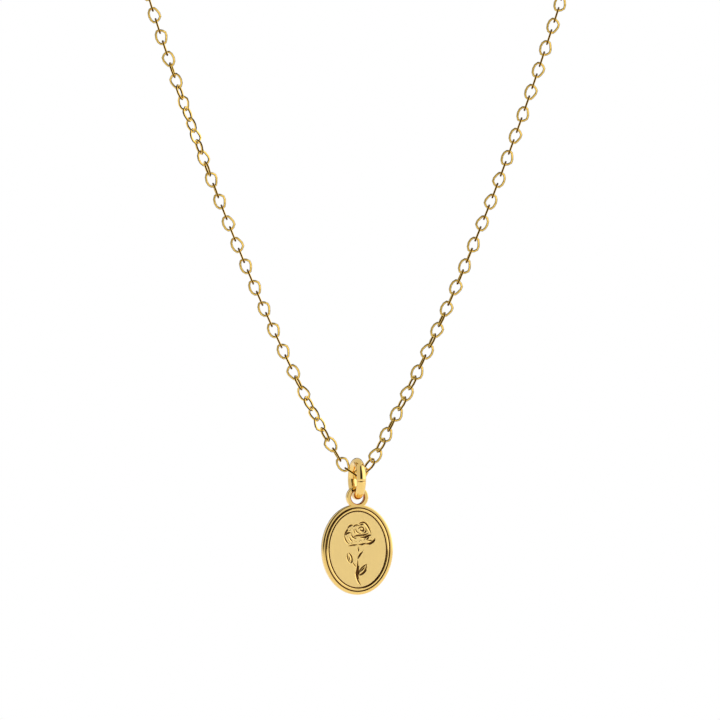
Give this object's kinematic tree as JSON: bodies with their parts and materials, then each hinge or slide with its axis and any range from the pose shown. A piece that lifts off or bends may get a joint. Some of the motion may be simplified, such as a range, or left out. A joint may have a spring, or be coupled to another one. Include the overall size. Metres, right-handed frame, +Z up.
{
  "type": "necklace with medal",
  "caption": "Flat oval gold medal with an ear, hung by a thick jump ring on a fine oval cable chain that closes behind the neck with a spring ring clasp.",
  "frame": {"origin": "midway between the two places where the chain turns over the wearer's shoulders, in the plane in which the front of the chain hangs", "axes": "+Z up, -Y to the front of the wearer, +X to the right of someone who faces the medal; the medal hangs at the low end of -Z"},
  "size_m": [0.097, 0.0636, 0.1625],
  "materials": {
    "gold": "polished",
    "spring_steel": "satin"
  },
  "bodies": {
    "neck": {"neck_chain_left_1": "gold", "neck_chain_left_2": "gold", "neck_chain_left_3": "gold", "neck_chain_left_4": "gold", "neck_chain_left_5": "gold", "neck_chain_right_1": "gold", "neck_chain_right_2": "gold", "neck_chain_right_3": "gold", "neck_chain_right_4": "gold", "neck_chain_right_5": "gold", "clasp_ring": "gold", "end_ring": "gold"},
    "chain_left_01": {"chain_left_01": "gold"},
    "chain_left_02": {"chain_left_02": "gold"},
    "chain_left_03": {"chain_left_03": "gold"},
    "chain_left_04": {"chain_left_04": "gold"},
    "chain_left_05": {"chain_left_05": "gold"},
    "chain_left_06": {"chain_left_06": "gold"},
    "chain_left_07": {"chain_left_07": "gold"},
    "chain_left_08": {"chain_left_08": "gold"},
    "chain_left_09": {"chain_left_09": "gold"},
    "chain_left_10": {"chain_left_10": "gold"},
    "chain_left_11": {"chain_left_11": "gold"},
    "chain_left_12": {"chain_left_12": "gold"},
    "chain_right_01": {"chain_right_01": "gold"},
    "chain_right_02": {"chain_right_02": "gold"},
    "chain_right_03": {"chain_right_03": "gold"},
    "chain_right_04": {"chain_right_04": "gold"},
    "chain_right_05": {"chain_right_05": "gold"},
    "chain_right_06": {"chain_right_06": "gold"},
    "chain_right_07": {"chain_right_07": "gold"},
    "chain_right_08": {"chain_right_08": "gold"},
    "chain_right_09": {"chain_right_09": "gold"},
    "chain_right_10": {"chain_right_10": "gold"},
    "chain_right_11": {"chain_right_11": "gold"},
    "chain_right_12": {"chain_right_12": "gold", "ring_carrier_link": "gold"},
    "jump_ring": {"jump_ring": "gold"},
    "medal": {"medal": "gold"},
    "clasp": {"clasp_body": "gold", "clasp_spring": "spring_steel"},
    "clasp_trigger": {"clasp_trigger": "gold"}
  },
  "joints": [
    {"name": "chain_left_01_swing", "type": "hinge", "parent": "neck", "child": "chain_left_01", "pos_m": [-0.04479, 0, -0.01107], "axis": [1, 0, 0], "range_deg": [-30, 30]},
    {"name": "chain_left_02_swing", "type": "hinge", "parent": "chain_left_01", "child": "chain_left_02", "pos_m": [-0.04213, 0, -0.02147], "axis": [1, 0, 0], "range_deg": [-30, 30]},
    {"name": "chain_left_03_swing", "type": "hinge", "parent": "chain_left_02", "child": "chain_left_03", "pos_m": [-0.03935, 0, -0.03184], "axis": [-1, 0, 0], "range_deg": [-30, 30]},
    {"name": "chain_left_04_swing", "type": "hinge", "parent": "chain_left_03", "child": "chain_left_04", "pos_m": [-0.03643, 0, -0.04218], "axis": [-1, 0, 0], "range_deg": [-30, 30]},
    {"name": "chain_left_05_swing", "type": "hinge", "parent": "chain_left_04", "child": "chain_left_05", "pos_m": [-0.03336, 0, -0.05247], "axis": [1, 0, 0], "range_deg": [-30, 30]},
    {"name": "chain_left_06_swing", "type": "hinge", "parent": "chain_left_05", "child": "chain_left_06", "pos_m": [-0.03012, 0, -0.06271], "axis": [1, 0, 0], "range_deg": [-30, 30]},
    {"name": "chain_left_07_swing", "type": "hinge", "parent": "chain_left_06", "child": "chain_left_07", "pos_m": [-0.0267, 0, -0.07289], "axis": [-1, 0, 0], "range_deg": [-30, 30]},
    {"name": "chain_left_08_swing", "type": "hinge", "parent": "chain_left_07", "child": "chain_left_08", "pos_m": [-0.02307, 0, -0.083], "axis": [-1, 0, 0], "range_deg": [-30, 30]},
    {"name": "chain_left_09_swing", "type": "hinge", "parent": "chain_left_08", "child": "chain_left_09", "pos_m": [-0.01921, 0, -0.09302], "axis": [1, 0, 0], "range_deg": [-30, 30]},
    {"name": "chain_left_10_swing", "type": "hinge", "parent": "chain_left_09", "child": "chain_left_10", "pos_m": [-0.01509, 0, -0.10294], "axis": [1, 0, 0], "range_deg": [-30, 30]},
    {"name": "chain_left_11_swing", "type": "hinge", "parent": "chain_left_10", "child": "chain_left_11", "pos_m": [-0.01068, 0, -0.11273], "axis": [-1, 0, 0], "range_deg": [-30, 30]},
    {"name": "chain_left_12_swing", "type": "hinge", "parent": "chain_left_11", "child": "chain_left_12", "pos_m": [-0.00594, 0, -0.12237], "axis": [-1, 0, 0], "range_deg": [-30, 30]},
    {"name": "chain_right_01_swing", "type": "hinge", "parent": "neck", "child": "chain_right_01", "pos_m": [0.04479, 0, -0.01107], "axis": [1, 0, 0], "range_deg": [-30, 30]},
    {"name": "chain_right_02_swing", "type": "hinge", "parent": "chain_right_01", "child": "chain_right_02", "pos_m": [0.04213, 0, -0.02147], "axis": [1, 0, 0], "range_deg": [-30, 30]},
    {"name": "chain_right_03_swing", "type": "hinge", "parent": "chain_right_02", "child": "chain_right_03", "pos_m": [0.03935, 0, -0.03184], "axis": [-1, 0, 0], "range_deg": [-30, 30]},
    {"name": "chain_right_04_swing", "type": "hinge", "parent": "chain_right_03", "child": "chain_right_04", "pos_m": [0.03643, 0, -0.04218], "axis": [-1, 0, 0], "range_deg": [-30, 30]},
    {"name": "chain_right_05_swing", "type": "hinge", "parent": "chain_right_04", "child": "chain_right_05", "pos_m": [0.03336, 0, -0.05247], "axis": [1, 0, 0], "range_deg": [-30, 30]},
    {"name": "chain_right_06_swing", "type": "hinge", "parent": "chain_right_05", "child": "chain_right_06", "pos_m": [0.03012, 0, -0.06271], "axis": [1, 0, 0], "range_deg": [-30, 30]},
    {"name": "chain_right_07_swing", "type": "hinge", "parent": "chain_right_06", "child": "chain_right_07", "pos_m": [0.0267, 0, -0.07289], "axis": [-1, 0, 0], "range_deg": [-30, 30]},
    {"name": "chain_right_08_swing", "type": "hinge", "parent": "chain_right_07", "child": "chain_right_08", "pos_m": [0.02307, 0, -0.083], "axis": [-1, 0, 0], "range_deg": [-30, 30]},
    {"name": "chain_right_09_swing", "type": "hinge", "parent": "chain_right_08", "child": "chain_right_09", "pos_m": [0.01921, 0, -0.09302], "axis": [1, 0, 0], "range_deg": [-30, 30]},
    {"name": "chain_right_10_swing", "type": "hinge", "parent": "chain_right_09", "child": "chain_right_10", "pos_m": [0.01509, 0, -0.10294], "axis": [1, 0, 0], "range_deg": [-30, 30]},
    {"name": "chain_right_11_swing", "type": "hinge", "parent": "chain_right_10", "child": "chain_right_11", "pos_m": [0.01068, 0, -0.11273], "axis": [-1, 0, 0], "range_deg": [-30, 30]},
    {"name": "chain_right_12_swing", "type": "hinge", "parent": "chain_right_11", "child": "chain_right_12", "pos_m": [0.00594, 0, -0.12237], "axis": [-1, 0, 0], "range_deg": [-30, 30]},
    {"name": "jump_ring_swing", "type": "hinge", "parent": "chain_right_12", "child": "jump_ring", "pos_m": [0, 0, -0.13051], "axis": [1, 0, 0], "range_deg": [-25, 25]},
    {"name": "medal_swing", "type": "hinge", "parent": "jump_ring", "child": "medal", "pos_m": [0.00026, 0, -0.13411], "axis": [0.2756, -0.9613, 0], "range_deg": [-60, 60]},
    {"name": "clasp_roll", "type": "hinge", "parent": "neck", "child": "clasp", "pos_m": [0.00118, 0.0585, 0.0095], "axis": [1, 0, 0], "range_deg": [-20, 20]},
    {"name": "clasp_trigger_pull", "type": "hinge", "parent": "clasp", "child": "clasp_trigger", "pos_m": [0.00118, 0.0585, 0.0095], "axis": [0, -1, 0], "range_deg": [0, 50], "stiffness_Nm_per_rad": 0.003, "springref_deg": -28.65, "deforming": ["clasp_spring"]}
  ],
  "couplings": [
    {"joint": "chain_right_01_swing", "follows": "chain_left_01_swing", "ratio": 1},
    {"joint": "chain_right_02_swing", "follows": "chain_left_02_swing", "ratio": 1},
    {"joint": "chain_right_03_swing", "follows": "chain_left_03_swing", "ratio": 1},
    {"joint": "chain_right_04_swing", "follows": "chain_left_04_swing", "ratio": 1},
    {"joint": "chain_right_05_swing", "follows": "chain_left_05_swing", "ratio": 1},
    {"joint": "chain_right_06_swing", "follows": "chain_left_06_swing", "ratio": 1},
    {"joint": "chain_right_07_swing", "follows": "chain_left_07_swing", "ratio": 1},
    {"joint": "chain_right_08_swing", "follows": "chain_left_08_swing", "ratio": 1},
    {"joint": "chain_right_09_swing", "follows": "chain_left_09_swing", "ratio": 1},
    {"joint": "chain_right_10_swing", "follows": "chain_left_10_swing", "ratio": 1},
    {"joint": "chain_right_11_swing", "follows": "chain_left_11_swing", "ratio": 1},
    {"joint": "chain_right_12_swing", "follows": "chain_left_12_swing", "ratio": 1}
  ]
}
